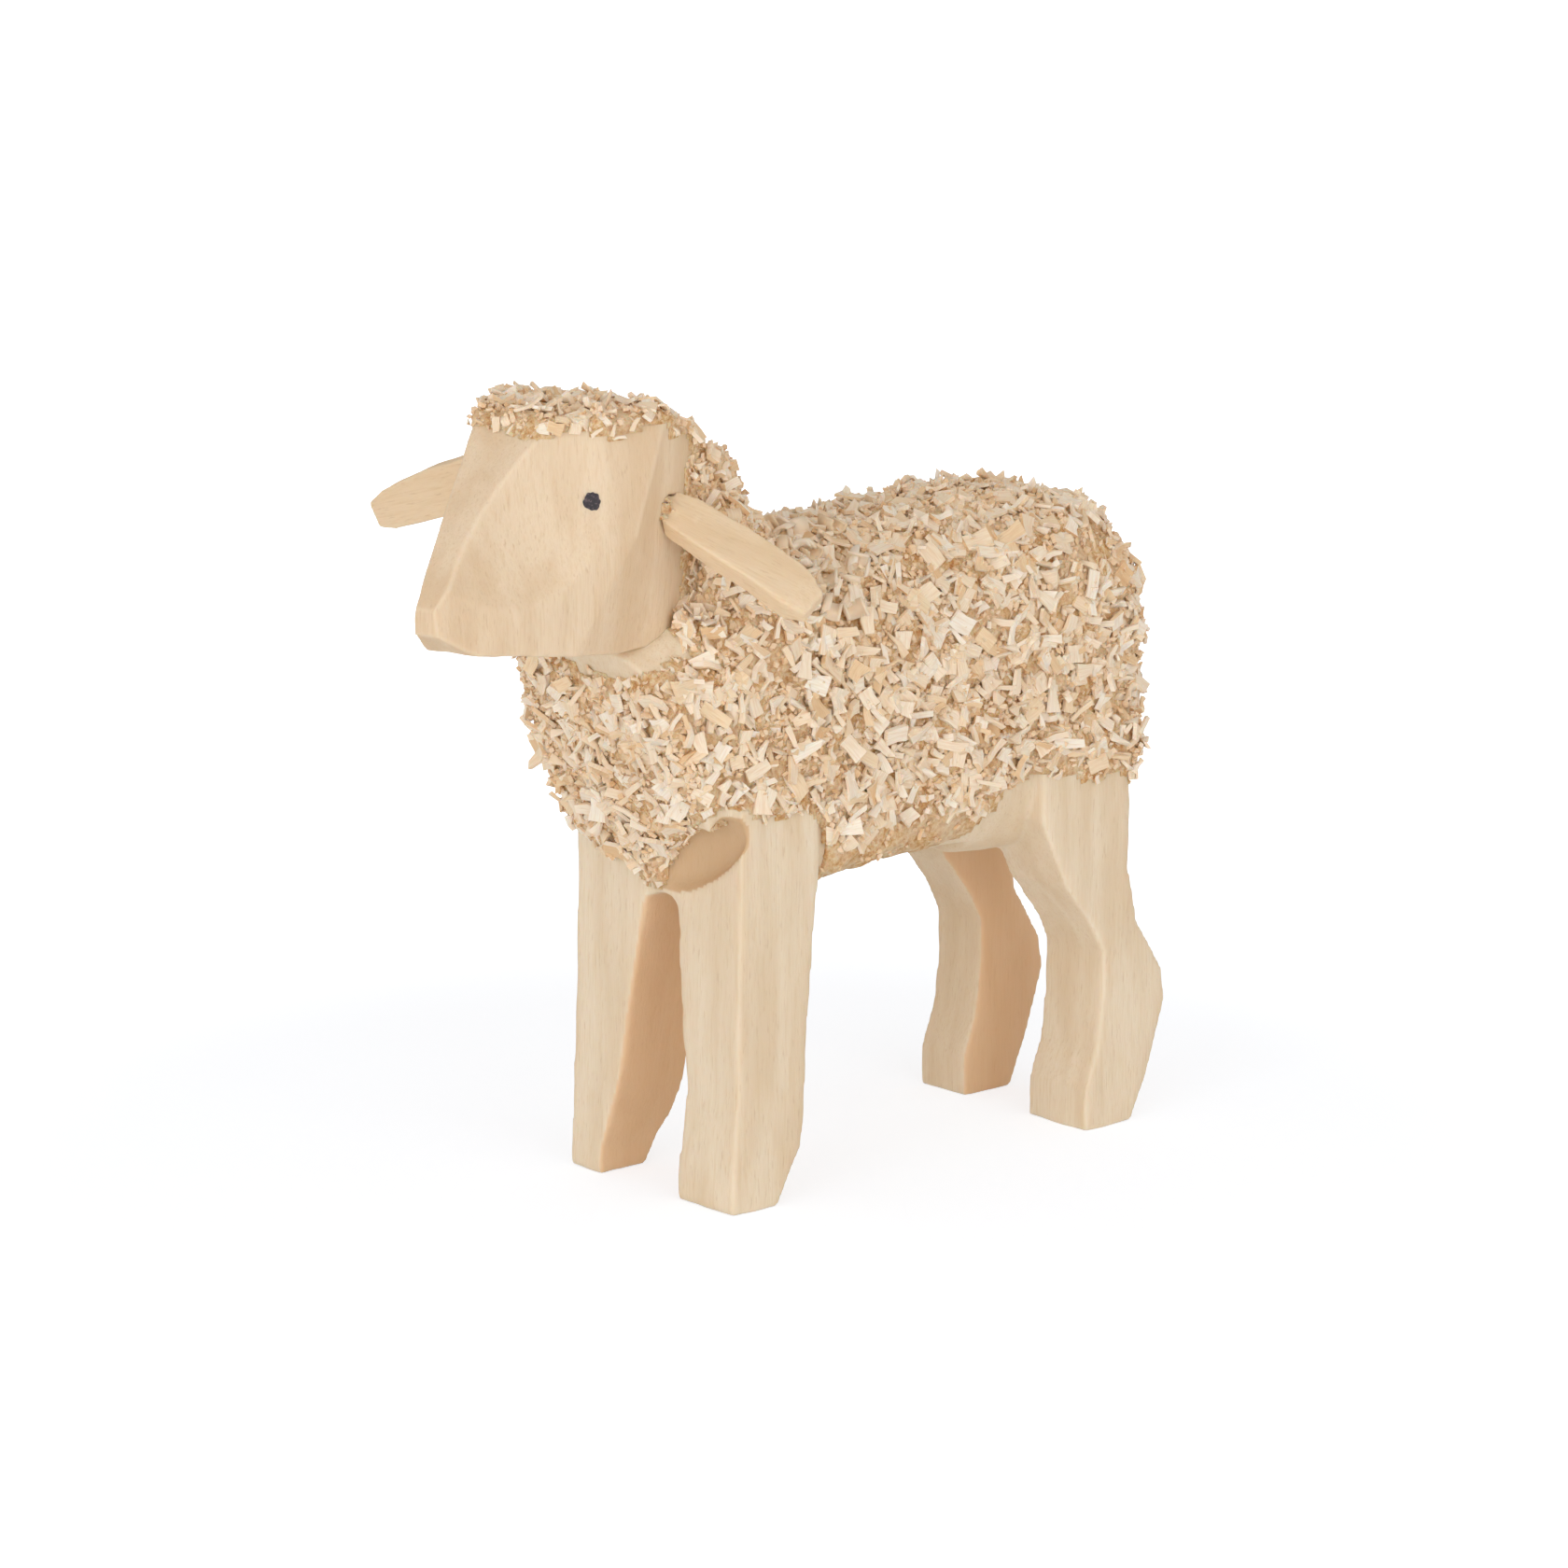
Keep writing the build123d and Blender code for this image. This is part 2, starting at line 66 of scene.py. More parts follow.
def fill(tree, node, inputs):
    # links or sets each input of a node; a hex colour is made linear
    for name, value in inputs.items():
        if isinstance(value, bpy.types.NodeSocket):
            tree.links.new(value, node.inputs[name])
        else:
            node.inputs[name].default_value = toLinear(value) if isinstance(value, str) else value


def addNode(tree, kind, settings=None, inputs=None, stops=()):
    # adds a node and gives its outputs; stops are a ramp's positions, each with a hex colour or a grey
    made = tree.nodes.new(kind)
    for name, value in (settings or {}).items():
        setattr(made, name, value)
    for _ in stops[2:]:  # a ramp starts with two
        made.color_ramp.elements.new(0.5)
    for index, (position, tone) in enumerate(stops):
        made.color_ramp.elements[index].position = position
        made.color_ramp.elements[index].color = toLinear(tone) if isinstance(tone, str) else (tone, tone, tone, 1)
    fill(tree, made, inputs or {})
    return made.outputs


def patternsOf(tree, place, patterns):
    # each pattern is the width of its spots along x, y and z in millimetres, then detail, roughness, distortion
    made = {}
    for name, (size, detail, roughness, distortion) in patterns.items():
        scaled = addNode(tree, "ShaderNodeMapping", inputs={
            "Vector": place, "Scale": [1 / (side * mm) for side in size]})
        made[name] = addNode(tree, "ShaderNodeTexNoise", inputs={
            "Vector": scaled["Vector"], "Scale": 1.0, "Detail": detail, "Roughness": roughness,
            "Distortion": distortion})["Fac"]
    return made


def layered(tree, colour, layers):
    # lays tones over a colour, each as far as its mask rises between two levels, up to a share
    for mask, (start, end, share), tone in layers:
        cover = addNode(tree, "ShaderNodeValToRGB", inputs={"Fac": mask}, stops=[(start, 0.0), (end, share)])
        colour = addNode(tree, "ShaderNodeMix", {"data_type": "RGBA"}, {0: cover["Color"], 6: colour, 7: tone})[2]
    return colour


def newMaterial(name):
    material = bpy.data.materials.new(name)
    material.use_nodes = True
    return material, material.node_tree


def surfaced(tree, look, colour, relief=None):
    # gives the shader its colour, its plain values and its bump
    inputs = {"Base Color": colour, **look["surface"]}
    if relief:
        inputs["Normal"] = addNode(tree, "ShaderNodeBump", inputs={**look["bump"], "Height": relief})["Normal"]
    fill(tree, tree.nodes["Principled BSDF"], inputs)


# Real fibres of lime are about 0.03 mm wide, too fine to show, so they are drawn 0.22 mm wide
wood = {
    "fibres": [(0.30, "#E8D9C1"), (0.52, "#F0E5D4"), (0.72, "#E8D9C1")],
    "bandTone": "#DDC7A9", "bandShare": (0.42, 0.66, 0.55),
    "dashTone": "#C6A783", "dashShare": (0.60, 0.72, 0.30),
    # paler sharp edges: partly worn wood, partly a painted highlight
    "wornHighlightTone": "#F6EEE1", "wornHighlightShare": (0.35, 0.95, 0.45),
    # painted shade on the scoop pared under the chest, which faces down
    "scoopShadeTone": "#CDAA80", "scoopShadeShare": (0.2, 0.8, 0.75),
    # painted warm shade on the faces turned in between the legs, low down
    "legShadeTone": "#E8C094", "legShadeShare": (0.2, 0.9, 0.6),
    "bodyTint": "#FFF9EE", "headTint": "#FBEEDD", "earTint": "#FBECD6",
    "patterns": {
        "fibres": ((0.22, 0.22, 3.6), 4.0, 0.6, 0.0),
        "bands": ((2.6, 2.6, 15.6), 2.0, 0.55, 0.4),
        "dashes": ((0.132, 0.132, 1.08), 2.0, 0.55, 0.0),
        "fuzz": ((0.16, 0.16, 0.3), 5.0, 0.7, 0.0),
    },
    "fuzzShare": 0.5,
    "surface": {
        "Roughness": 0.66, "Subsurface Weight": 0.25, "Subsurface Radius": (1.0, 0.5, 0.25),
        "Subsurface Scale": 0.9 * mm,
    },
    "bump": {"Strength": 0.5, "Distance": 0.05 * mm},
}


def whittledLime(name, tint, run=Vector((0, 0, 1))):
    # lime wood, cut with a knife and left bare: even, pale, with fine fibres along the grain and dull faces
    material, tree = newMaterial(name)
    turned = run.rotation_difference(Vector((0, 0, 1))).to_euler()
    place = addNode(tree, "ShaderNodeTexCoord")["Object"]
    place = addNode(tree, "ShaderNodeMapping", inputs={"Vector": place, "Rotation": turned})["Vector"]
    made = patternsOf(tree, place, wood["patterns"])
    wornHighlight, scoopShade, legShade = (
        addNode(tree, "ShaderNodeAttribute", {"attribute_name": mark})["Fac"] for mark in ("wornHighlight", "scoopShade", "legShade"))
    colour = addNode(tree, "ShaderNodeValToRGB", inputs={"Fac": made["fibres"]}, stops=wood["fibres"])["Color"]
    colour = layered(tree, colour, (
        (made["bands"], wood["bandShare"], wood["bandTone"]),
        (made["dashes"], wood["dashShare"], wood["dashTone"]),
        # pale edges: wear and painted highlight
        (wornHighlight, wood["wornHighlightShare"], wood["wornHighlightTone"]),
        # painted shade in the scoop
        (scoopShade, wood["scoopShadeShare"], wood["scoopShadeTone"]),
        # painted warm shade between the legs
        (legShade, wood["legShadeShare"], wood["legShadeTone"]),
    ))
    colour = addNode(tree, "ShaderNodeMix", {"data_type": "RGBA", "blend_type": "MULTIPLY"}, {
        0: 1.0, 6: colour, 7: tint})[2]
    relief = addNode(tree, "ShaderNodeMath", {"operation": "MULTIPLY_ADD"}, {
        0: made["fuzz"], 1: wood["fuzzShare"], 2: made["fibres"]})[0]
    surfaced(tree, wood, colour, relief)
    return material


shaving = {
    "tones": [
        (0.0, "#EAC79A"), (0.10, "#F5DDB9"), (0.30, "#F9E5C9"), (0.55, "#FBEAD2"), (0.80, "#FDEFDB"), (1.0, "#FFF4E4"),
    ],
    "grain": [(0.35, "#DDBE96"), (0.60, "#FFFFFF")], "grainShare": 0.30,
    "grainScale": (1.2, 9.0, 1.0),  # lines along and across one flake
    "crumbTone": "#EBBF87", "crumbShare": (0.2, 0.8, 0.35),
    "crumbGrain": 140.0,  # crumbs take their grain from this far along, so that they can be told from flakes
    "surface": {
        "Roughness": 0.7, "Subsurface Weight": 0.35, "Subsurface Radius": (1.0, 0.65, 0.4),
        "Subsurface Scale": 0.06 * mm,
    },
    "bump": {"Strength": 0.5, "Distance": 0.04 * mm},
}


def dryShavings():
    # flakes pared off with a knife: each has its own tone and fibres along it; crumbs are tinted golden
    material, tree = newMaterial("DryWoodShavings")
    each = addNode(tree, "ShaderNodeNewGeometry")["Random Per Island"]
    tone = addNode(tree, "ShaderNodeValToRGB", inputs={"Fac": each}, stops=shaving["tones"])["Color"]
    own = addNode(tree, "ShaderNodeUVMap", {"uv_map": "grain"})["UV"]
    along = addNode(tree, "ShaderNodeMapping", inputs={"Vector": own, "Scale": shaving["grainScale"]})["Vector"]
    lines = addNode(tree, "ShaderNodeTexNoise", inputs={"Vector": along, "Scale": 1.0, "Detail": 3.0})["Fac"]
    grain = addNode(tree, "ShaderNodeValToRGB", inputs={"Fac": lines}, stops=shaving["grain"])["Color"]
    colour = addNode(tree, "ShaderNodeMix", {"data_type": "RGBA", "blend_type": "MULTIPLY"}, {
        0: shaving["grainShare"], 6: tone, 7: grain})[2]
    aside = addNode(tree, "ShaderNodeSeparateXYZ", inputs={"Vector": own})["X"]
    crumb = addNode(tree, "ShaderNodeMath", {"operation": "GREATER_THAN"}, {
        0: aside, 1: shaving["crumbGrain"] / 2})[0]
    colour = layered(tree, colour, [(crumb, shaving["crumbShare"], shaving["crumbTone"])])
    surfaced(tree, shaving, colour, lines)
    return material


# The grains are 0.1 to 0.5 mm wide; the glue lies in patches of about 2 mm
dustLayer = {
    # the dark orange stop is partly painted warm shade for the gaps between the chips
    "tones": [(0.34, "#C4864C"), (0.50, "#E6BF8A"), (0.66, "#F5DFBE")],
    "patchTone": "#F2DBBB", "patchShare": (0.40, 0.65, 0.5),
    "patterns": {"grit": ((0.35, 0.35, 0.35), 5.0, 0.7, 0.0), "patches": ((2.2, 2.2, 2.2), 2.0, 0.55, 0.0)},
    "surface": {
        "Roughness": 0.85, "Subsurface Weight": 0.8, "Subsurface Radius": (1.0, 0.6, 0.35),
        "Subsurface Scale": 0.25 * mm,
    },
    "bump": {"Strength": 0.9, "Distance": 0.25 * mm},
}


def gluedSawdust():
    # fine sawdust set in glue: rough and tan; its dark orange grit is partly glue soaked in and partly painted warm
    # shade in the gaps between the chips
    material, tree = newMaterial("GluedSawdust")
    made = patternsOf(tree, addNode(tree, "ShaderNodeTexCoord")["Object"], dustLayer["patterns"])
    colour = addNode(tree, "ShaderNodeValToRGB", inputs={"Fac": made["grit"]}, stops=dustLayer["tones"])["Color"]
    colour = layered(tree, colour, [(made["patches"], dustLayer["patchShare"], dustLayer["patchTone"])])
    surfaced(tree, dustLayer, colour, made["grit"])
    return material


def mottled(name, look):
    # one noise that runs through a few tones
    material, tree = newMaterial(name)
    made = patternsOf(tree, addNode(tree, "ShaderNodeTexCoord")["Object"], {"spots": look["spots"]})
    colour = addNode(tree, "ShaderNodeValToRGB", inputs={"Fac": made["spots"]}, stops=look["tones"])["Color"]
    surfaced(tree, look, colour)
    return material


paintDot = {  # thinned violet-black paint, brushed on: soaked into the wood and a little uneven; its pale grey spots are a painted highlight
    "tones": [(0.42, "#190F0F"), (0.56, "#33242A"), (0.68, "#94827C")],
    "spots": ((0.22, 0.22, 0.22), 4.0, 0.7, 0.0),
    "surface": {"Roughness": 0.55},
}
hideGlue = {  # a bead of hide glue: amber, cloudy inside and glossy
    "tones": [(0.35, "#C98F45"), (0.65, "#E6B871")],
    "spots": ((0.6, 0.6, 0.6), 3.0, 0.55, 0.0),
    "surface": {
        "Roughness": 0.28, "Subsurface Weight": 0.4, "Subsurface Radius": (1.0, 0.5, 0.2),
        "Subsurface Scale": 0.8 * mm,
    },
}
innerBark = {  # a crumb of dried inner bark, nearly black and dull
    "tones": [(0.4, "#17110F"), (0.7, "#3A2A22")],
    "spots": ((0.25, 0.25, 0.25), 4.0, 0.55, 0.0),
    "surface": {"Roughness": 0.8},
}

limeWood = whittledLime("WhittledLimeWood", wood["bodyTint"])
headWood = whittledLime("WhittledLimeHeadwood", wood["headTint"])
shavings, sawdust = dryShavings(), gluedSawdust()
paint, glue = mottled("BrushedInkPaint", paintDot), mottled("DriedAmberGlue", hideGlue)
bark = mottled("DarkBark", innerBark)
print("materials made")


# Finishing and measuring pieces

mergeGap = 0.002 * mm


def finished(name, mesh, material, nodeName, smooth=True, crease=None):
    # makes a mesh the piece that stands for a CAD node; edges sharper than crease degrees stay sharp
    piece = bpy.data.objects.new(name, mesh)
    bpy.context.scene.collection.objects.link(piece)
    mesh.materials.clear()
    mesh.materials.append(material)
    if smooth:
        mesh.shade_smooth()
    else:
        mesh.shade_flat()
    if crease:
        mesh.set_sharp_from_angle(angle=math.radians(crease))
    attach(piece, "root")
    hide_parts(nodeName)
    return piece


def meshOf(bm, name):
    mesh = bpy.data.meshes.new(name)
    bm.to_mesh(mesh)
    bm.free()
    return mesh


def copyOf(nodeName):
    # a bmesh of a CAD node, with its loose triangles joined up
    bm = bmesh.new()
    bm.from_mesh(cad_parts[nodeName].data)
    bmesh.ops.remove_doubles(bm, verts=bm.verts, dist=mergeGap)
    return bm


def withModifiers(mesh, *modifiers):
    # the mesh as some modifiers leave it; each is its kind and its settings
    scratch = bpy.data.objects.new("scratch", mesh)
    bpy.context.scene.collection.objects.link(scratch)
    for kind, settings in modifiers:
        modifier = scratch.modifiers.new(kind, kind)
        for name, value in settings.items():
            setattr(modifier, name, value)
    depsgraph = bpy.context.evaluated_depsgraph_get()
    changed = bpy.data.meshes.new_from_object(scratch.evaluated_get(depsgraph))
    bpy.data.objects.remove(scratch)
    return changed


def wander(point, waves):
    # smooth noise in millimetres; each wave is its length and its height in millimetres
    return sum(noise.noise(point / (length * mm)) * height for length, height in waves)


def uneven(bm, waves):
    # moves each point along its normal
    bm.normal_update()
    shifts = [vert.normal * wander(vert.co, waves) * mm for vert in bm.verts]
    for vert, shift in zip(bm.verts, shifts):
        vert.co += shift


def pointTree(points):
    tree = KDTree(len(points))
    for index, point in enumerate(points):
        tree.insert(point, index)
    tree.balance()
    return tree


def treeOf(mesh):
    bm = bmesh.new()
    bm.from_mesh(mesh)
    tree = BVHTree.FromBMesh(bm)
    bm.free()
    return tree


def smoothRise(value):
    value = min(1.0, max(0.0, value))
    return value * value * (3 - 2 * value)


# Carved wood: body, head, ears and tail

carving = {
    "voxel": 0.24, "headVoxel": 0.16, "earVoxel": 0.12,
    "softening": 3,
    "waves": ((4.5, 0.10), (1.6, 0.05), (0.7, 0.015)),
    # the pale band along sharp edges, part wear and part painted highlight, reaches this far
    "sharpAngle": 30.0, "edgeStep": 0.15, "wornHighlightWidth": 0.40,
    "legShadeFrom": 0.2, "legShadeRun": 0.5, "legShadeTop": 22, "legShadeFade": 3,  # painted warm shade between the legs: how far a face must turn inwards, how high up
}
scoop = {  # the hollow pared off under the chest, above the left front leg
    "from": (13.65, -0.4, 19.5), "to": (13.0, 8.0, 24.1), "out": (0.92, 0.10, -0.38), "width": 3.6, "depth": 1.3,
    "proud": 0.45, "shift": (0.25, 0, 0), "rim": 1.06,
}
dip = {"x": 6.6, "width": 2.6, "depth": 1.2, "from": 36.0, "rise": 3.0}  # the hollow between neck and back
belly = {"from": -7.5, "to": 6.2, "least": 15.0, "low": 19.45}  # pared level between the legs


def scoopFrame():
    # where the unit ball that pares the scoop goes
    start, end = Vector(scoop["from"]), Vector(scoop["to"])
    long = (end - start).normalized()
    out = Vector(scoop["out"])
    out = (out - long * out.dot(long)).normalized()
    turn = Matrix((long, out.cross(long), out)).transposed().to_4x4()
    middle = (start + end) / 2 + out * scoop["proud"] + Vector(scoop["shift"])
    size = Matrix.Diagonal(((end - start).length / 2, scoop["width"] / 2, scoop["depth"], 1))
    return Matrix.Translation(at(*middle)) @ turn @ Matrix.Scale(mm, 4) @ size


def scoopBall():
    bm = bmesh.new()
    bmesh.ops.create_icosphere(bm, subdivisions=4, radius=1.0)
    bmesh.ops.transform(bm, matrix=scoopFrame(), verts=bm.verts)
    ball = bpy.data.objects.new("scoop", meshOf(bm, "scoop"))
    bpy.context.scene.collection.objects.link(ball)
    return ball


def dipped(bm):
    # presses the wood down where the neck runs into the back, and pares the belly level
    for vert in bm.verts:
        place = (vert.co - stance) / mm
        fall = math.exp(-((place.x - dip["x"]) / dip["width"]) ** 2)
        vert.co.z -= dip["depth"] * mm * fall * smoothRise((place.z - dip["from"]) / dip["rise"])
        if belly["from"] < place.x < belly["to"] and belly["least"] < place.z < belly["low"]:
            vert.co.z = stance.z + belly["low"] * mm


def sharpPoints(bm):
    # points along the edges where two facets meet
    points = []
    for edge in bm.edges:
        if len(edge.link_faces) == 2 and edge.calc_face_angle() > math.radians(carving["sharpAngle"]):
            start, end = (vert.co for vert in edge.verts)
            count = math.ceil((end - start).length / (carving["edgeStep"] * mm))
            points += [start.lerp(end, step / count) for step in range(count + 1)]
    return points


def carve(name, nodeName, voxel, cutter=None, shaped=None, material=limeWood):
    # remeshes a CAD node of wood, softens its facets and marks its pale edges (part wear, part painted highlight), its
    # scoop for painted shade and its faces between the legs for painted warm shade
    bm = copyOf(nodeName)
    edges = pointTree(sharpPoints(bm))
    steps = [("REMESH", {"mode": "VOXEL", "voxel_size": voxel * mm})]
    if cutter:
        steps.insert(0, ("BOOLEAN", {"operation": "DIFFERENCE", "object": cutter, "solver": "EXACT"}))
    mesh = withModifiers(meshOf(bm, name), *steps)
    bm = bmesh.new()
    bm.from_mesh(mesh)
    if shaped:
        shaped(bm)
    for _ in range(carving["softening"]):
        bmesh.ops.smooth_vert(bm, verts=bm.verts, factor=0.5, use_axis_x=True, use_axis_y=True, use_axis_z=True)
    uneven(bm, carving["waves"])
    wornHighlight, scoopShade, legShade = (bm.verts.layers.float.new(mark) for mark in ("wornHighlight", "scoopShade", "legShade"))
    intoScoop = scoopFrame().inverted()
    bm.normal_update()
    for vert in bm.verts:
        place = (vert.co - stance) / mm
        inward = -vert.normal.y if place.y > 0 else vert.normal.y  # faces turned in between the legs get painted warm shade
        between = smoothRise((inward - carving["legShadeFrom"]) / carving["legShadeRun"])
        lowDown = smoothRise((carving["legShadeTop"] - place.z) / carving["legShadeFade"])
        vert[legShade] = between * lowDown if cutter else 0.0
        # pale edges: wear and painted highlight
        vert[wornHighlight] = max(0.0, 1 - edges.find(vert.co)[2] / (carving["wornHighlightWidth"] * mm))
        # the scoop under the chest gets painted shade
        vert[scoopShade] = 1.0 if cutter and (intoScoop @ vert.co).length < scoop["rim"] else 0.0
    return finished(name, meshOf(bm, name), material, nodeName)


earForms = {
    "leftEar": {"node": "ear_left", "slim": 0.93, "broad": 0.30},
    "rightEar": {"node": "ear_right", "slim": 0.97, "broad": 0.08},
}
earEnd = {"from": 0.55, "run": 0.4}  # the share of its length where an ear starts to broaden, and over which


def earLine(nodeName):
    # an ear is split along its own length, from the head to the tip
    middle = (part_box("head")[0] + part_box("head")[1]) / 2
    corners = [vert.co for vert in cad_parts[nodeName].data.vertices]
    corners.sort(key=lambda spot: (spot - middle).length)
    return corners[0], corners[-1]


def blunted(root, tip, form):
    # makes an ear slimmer all along and broader at its end
    def shape(bm):
        run = tip - root
        for vert in bm.verts:
            share = (vert.co - root).dot(run) / run.length_squared
            axis = root + run * share
            width = form["slim"] + form["broad"] * smoothRise((share - earEnd["from"]) / earEnd["run"])
            vert.co = axis + (vert.co - axis) * width
    return shape


cutter = scoopBall()
carvedBody = carve("carvedBody", "body", carving["voxel"], cutter, dipped)
bpy.data.objects.remove(cutter)
carvedHead = carve("carvedHead", "head", carving["headVoxel"], material=headWood)
ears = []
for name, form in earForms.items():
    root, tip = earLine(form["node"])
    earWood = whittledLime("WhittledLime" + name[0].upper() + name[1:], wood["earTint"], (tip - root).normalized())
    ears.append(carve(name, form["node"], carving["earVoxel"], shaped=blunted(root, tip, form), material=earWood))
tail = carve("tailPeg", "tail", carving["earVoxel"])
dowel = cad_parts["neck_dowel"]
dowel.data.materials.clear()
dowel.data.materials.append(limeWood)
print("wood carved:", [len(piece.data.polygons) for piece in (carvedBody, carvedHead, *ears, tail)])


# Fleece bed: sawdust set in glue, laid over the wood as far as the hem

bed = {
    "voxel": 0.34, "thickness": 0.55, "crown": 0.38, "taper": 1.5, "least": 0.10, "sunk": 0.15,
    "waves": ((3.2, 0.20), (1.3, 0.32), (0.6, 0.18)), "hemWaves": ((2.6, 0.9), (0.9, 0.5)),
    "pressedGap": 0.2, "pressedReach": 6,  # wood that lies this close to other wood has no bed
}
# The hem's height, from the rump along the flank to the front leg, and across the chest from right to left
flankHem = (
    (-23.0, 21.4), (-19.0, 21.8), (-17.7, 22.8), (-13.6, 23.3), (-11.0, 23.9), (-9.3, 22.9), (-6.5, 20.8),
    (-2.5, 19.6), (1.5, 19.2), (6.4, 19.6), (6.9, 23.7), (10.2, 24.2), (13.4, 24.4),
)
chestHem = (
    (-8.0, 21.5), (-5.2, 20.7), (-3.0, 19.9), (-0.6, 18.8), (0.6, 19.2), (1.2, 20.8), (3.2, 22.6), (6.6, 24.1),
    (8.2, 24.4),
)
chestFrom = 13.3
throat = {"y": 2.2, "z": 34.4, "halfWidth": 4.0, "halfHeight": 1.5, "x": 16.0}  # bare wood under the chin
face = {  # the head is turned to the left; top, back and ridge bound the wool on it, from the nose and the floor
    "noseX": 34.05, "noseY": 4.0, "turn": 15.0, "top": 48.15, "back": 18.6, "ridge": 10.0, "up": 0.35, "rear": 0.4,
}
nose = at(face["noseX"], face["noseY"], 0)
headForward = Vector((math.cos(math.radians(face["turn"])), math.sin(math.radians(face["turn"])), 0))


def along(line, value):
    # the height of a broken line over a place
    for (start, low), (end, high) in zip(line, line[1:]):
        if value <= end:
            return low + (high - low) * max(0.0, value - start) / (end - start)
    return line[-1][1]


def bodyFleece(point, normal):
    # how far inside the fleece a place on the body lies, in millimetres
    place = (point - stance) / mm
    height = place.z - (along(chestHem, place.y) if place.x > chestFrom else along(flankHem, place.x))
    if place.x > throat["x"]:
        off = math.hypot((place.y - throat["y"]) / throat["halfWidth"], (place.z - throat["z"]) / throat["halfHeight"])
        height = min(height, (off - 1) * throat["halfHeight"])
    return height + wander(point, bed["hemWaves"])


def headFleece(point, normal):
    # the same on the head: its crown, and all that faces up or back behind the temples
    back = -(point - nose).dot(headForward) / mm
    inside = max(point.z / mm - face["top"], back - face["back"])
    if normal.z > face["up"] or normal.dot(headForward) < -face["rear"]:
        inside = max(inside, back - face["ridge"])
    return inside + wander(point, bed["hemWaves"])


def sawdustBed(name, nodeName, woodPiece, fleece, thickness, hidden):
    # covers the wood inside the hem, thin at its edge; also gives the places on it where chips can lie
    mesh = withModifiers(woodPiece.data.copy(), ("REMESH", {"mode": "VOXEL", "voxel_size": bed["voxel"] * mm}))
    bm = bmesh.new()
    bm.from_mesh(mesh)
    bare = []
    for part in bm.faces:
        centre = part.calc_center_median()
        nearest, normal, _, distance = hidden.find_nearest(centre)
        gap = (centre - nearest).dot(normal)
        pressed = gap < bed["pressedGap"] * mm and distance < bed["pressedReach"] * mm
        if pressed or fleece(centre, part.normal) < 0:
            bare.append(part)
    bmesh.ops.delete(bm, geom=bare, context="FACES")
    bm.normal_update()
    raised = bm.verts.layers.float_vector.new("raised")
    for vert in bm.verts:
        share = smoothRise(fleece(vert.co, vert.normal) / bed["taper"])
        height = bed["least"] + (thickness - bed["least"] + wander(vert.co, bed["waves"])) * share
        vert[raised] = vert.co + vert.normal * max(bed["least"], height) * mm
    for vert in bm.verts:
        vert.co -= vert.normal * bed["sunk"] * mm
    top = bmesh.ops.extrude_face_region(bm, geom=bm.faces[:], use_keep_orig=True)["geom"]
    for vert in (part for part in top if isinstance(part, bmesh.types.BMVert)):
        vert.co = vert[raised]
    bmesh.ops.recalc_face_normals(bm, faces=bm.faces)
    bm.normal_update()
    topFaces = [part for part in top if isinstance(part, bmesh.types.BMFace)]
    places = [(part.calc_center_median(), part.normal.copy(), part.calc_area()) for part in topFaces]
    return finished(name, meshOf(bm, name), sawdust, nodeName), places


headTree, bodyTree = treeOf(carvedHead.data), treeOf(carvedBody.data)
bodyBed, bodyPlaces = sawdustBed(
    "bodySawdust", "body_sawdust_coat", carvedBody, bodyFleece, bed["thickness"], headTree)
headBed, headPlaces = sawdustBed(
    "headSawdust", "head_sawdust_coat", carvedHead, headFleece, bed["crown"], bodyTree)
print("sawdust beds:", len(bodyBed.data.polygons), len(headBed.data.polygons))


# Flakes, slivers and crumbs: sizes and lift in millimetres, tilt in degrees, number per square millimetre

flakes = {
    "length": (0.8, 1.9), "width": (0.55, 1.2), "thickness": (0.16, 0.34), "tilt": 20.0, "lift": (0.05, 0.36),
    "perArea": 0.52, "shapes": 24, "ragged": 0.11, "taper": 0.6, "bend": 0.9,
}
slivers = {
    "length": (0.7, 1.9), "width": (0.22, 0.42), "thickness": (0.16, 0.32), "tilt": 22.0, "lift": (0.05, 0.38),
    "perArea": 1.10, "shapes": 16, "ragged": 0.08, "taper": 0.5, "bend": 1.6,
}
crumbs = {
    "length": (0.22, 0.72), "width": (0.18, 0.46), "thickness": (0.16, 0.34), "tilt": 50.0, "lift": (-0.02, 0.26),
    "perArea": 6.0, "shapes": 10, "ragged": 0.45, "radius": 0.6, "warp": 0.3,
}
bevel = {"inset": 0.14, "rise": 0.35}  # the thin rim of a flake
grainRange = 40  # each shape takes its grain from its own place
hemChips = {"least": 0.45, "growth": 0.55}  # chips are this much smaller at the hem
chipCrease = 70
dust = {"from": -8.5, "to": 6.4, "top": 22.1, "least": 20.0, "crumbs": 0.25}  # the belly's rim: dust, no chips


def chipOf(bm, dice, grainStart=0.0):
    # gives a flat chip its thickness and its own piece of grain
    grain = bm.loops.layers.uv.new("grain")
    sunken = bmesh.ops.extrude_face_region(bm, geom=bm.faces[:])["geom"]
    under = [part for part in sunken if isinstance(part, bmesh.types.BMVert)]
    bmesh.ops.translate(bm, verts=under, vec=(0, 0, -1))
    bmesh.ops.recalc_face_normals(bm, faces=bm.faces)
    shift = grainStart + dice.uniform(0, grainRange)
    for part in bm.faces:
        for loop in part.loops:
            loop[grain].uv = (loop.vert.co.x + shift, loop.vert.co.y + shift)
    return meshOf(bm, "chipShape")


